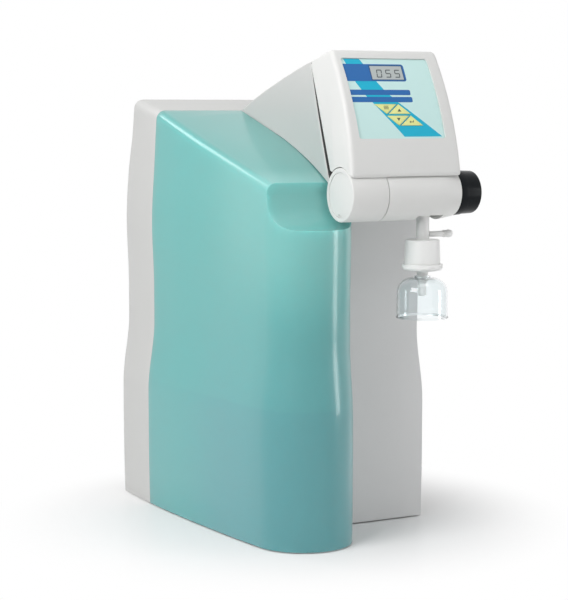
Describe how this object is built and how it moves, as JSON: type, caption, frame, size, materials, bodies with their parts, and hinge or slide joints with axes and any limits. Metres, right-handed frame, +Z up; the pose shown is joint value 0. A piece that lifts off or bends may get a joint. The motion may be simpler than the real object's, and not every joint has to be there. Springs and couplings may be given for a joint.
{
  "type": "laboratory water purifier",
  "caption": "Bench water purifier with a translucent side tank, a display head on a swept neck and a horizontal arm with knob, filter and clear filling bell.",
  "frame": {"origin": "centre of the footprint on the bench", "axes": "+Z up, front faces -Y, +X to the right of a person facing the front"},
  "size_m": [0.27, 0.4324, 0.5422],
  "materials": {
    "white_plastic": "satin moulded plastic",
    "grey_plastic": "satin moulded plastic",
    "tank_plastic": "translucent, soft gloss",
    "foil": "printed film",
    "key_film": "printed film",
    "lcd": "flat",
    "black_gloss": "glossy",
    "natural_plastic": "natural translucent",
    "clear_plastic": "clear",
    "blue_plastic": "satin",
    "red_plastic": "satin",
    "black_plastic": "satin",
    "rubber_black": "matt",
    "board": "solder mask",
    "steel_sheet": "powder coat",
    "steel": "brushed",
    "aluminium": "plain",
    "brass": "plain",
    "glass": "clear"
  },
  "bodies": {
    "casing": {"base_plate": "steel_sheet", "feet": "rubber_black", "rear_shell": "white_plastic", "tank": "tank_plastic", "front_panel": "grey_plastic", "right_cover": "white_plastic", "neck_cover": "white_plastic", "neck_collar": "grey_plastic", "head_cover": "white_plastic", "display_foil": "foil", "lcd_module": "lcd", "head_board": "board", "arm_left_sleeve": "white_plastic", "arm_end_cap": "white_plastic", "arm_right_sleeve": "white_plastic", "arm_core": "aluminium", "valve_body": "natural_plastic", "outlet_tube": "natural_plastic", "filter_capsule": "natural_plastic", "filter_flange": "natural_plastic", "filter_outlet": "natural_plastic", "bell": "clear_plastic", "chassis_wall": "steel_sheet", "main_board": "board", "power_supply": "aluminium", "pump_motor": "steel", "pump_head": "natural_plastic", "cartridge_1": "white_plastic", "cartridge_2": "white_plastic", "cartridge_heads": "blue_plastic", "uv_reactor": "steel", "uv_lamp": "glass", "solenoid_valve": "brass", "pressure_regulator": "blue_plastic", "conductivity_cell": "grey_plastic", "product_line": "natural_plastic", "level_rod": "natural_plastic", "mains_inlet": "black_plastic", "inlet_pins": "brass", "switch_frame": "black_plastic", "feed_connection": "brass", "drain_connection": "natural_plastic", "cover_screws": "steel"},
    "knob": {"knob": "black_gloss", "valve_stem": "steel"},
    "key_1": {"key_1": "key_film"},
    "key_2": {"key_2": "key_film"},
    "key_3": {"key_3": "key_film"},
    "key_4": {"key_4": "key_film"},
    "rocker": {"rocker_switch": "red_plastic"},
    "float": {"level_float": "white_plastic"},
    "vent_screw": {"vent_screw": "natural_plastic"},
    "coupling": {"pump_coupling": "steel"}
  },
  "joints": [
    {"name": "knob_turn", "type": "hinge", "parent": "casing", "child": "knob", "pos_m": [0.11, -0.18685, 0.387], "axis": [1, 0, 0], "range_deg": [0, 90]},
    {"name": "key_1_press", "type": "slide", "parent": "casing", "child": "key_1", "axis": [0, 0.9438, -0.3305], "range_m": [0, 0.0004], "stiffness_N_per_m": 800, "springref_m": -0.0004},
    {"name": "key_2_press", "type": "slide", "parent": "casing", "child": "key_2", "axis": [0, 0.9438, -0.3305], "range_m": [0, 0.0004], "stiffness_N_per_m": 800, "springref_m": -0.0004},
    {"name": "key_3_press", "type": "slide", "parent": "casing", "child": "key_3", "axis": [0, 0.9573, -0.289], "range_m": [0, 0.0004], "stiffness_N_per_m": 800, "springref_m": -0.0004},
    {"name": "key_4_press", "type": "slide", "parent": "casing", "child": "key_4", "axis": [0, 0.9573, -0.289], "range_m": [0, 0.0004], "stiffness_N_per_m": 800, "springref_m": -0.0004},
    {"name": "rocker_tilt", "type": "hinge", "parent": "casing", "child": "rocker", "pos_m": [0.03, 0.19715, 0.07], "axis": [1, 0, 0], "range_deg": [-8, 8]},
    {"name": "float_lift", "type": "slide", "parent": "casing", "child": "float", "axis": [0, 0, 1], "range_m": [0, 0.3]},
    {"name": "vent_turn", "type": "hinge", "parent": "casing", "child": "vent_screw", "pos_m": [0.095, -0.18685, 0.3415], "axis": [1, 0, 0], "range_deg": [0, 180]},
    {"name": "coupling_spin", "type": "hinge", "parent": "casing", "child": "coupling", "pos_m": [0.08, -0.04285, 0.103], "axis": [0, 0, 1], "continuous": true}
  ]
}
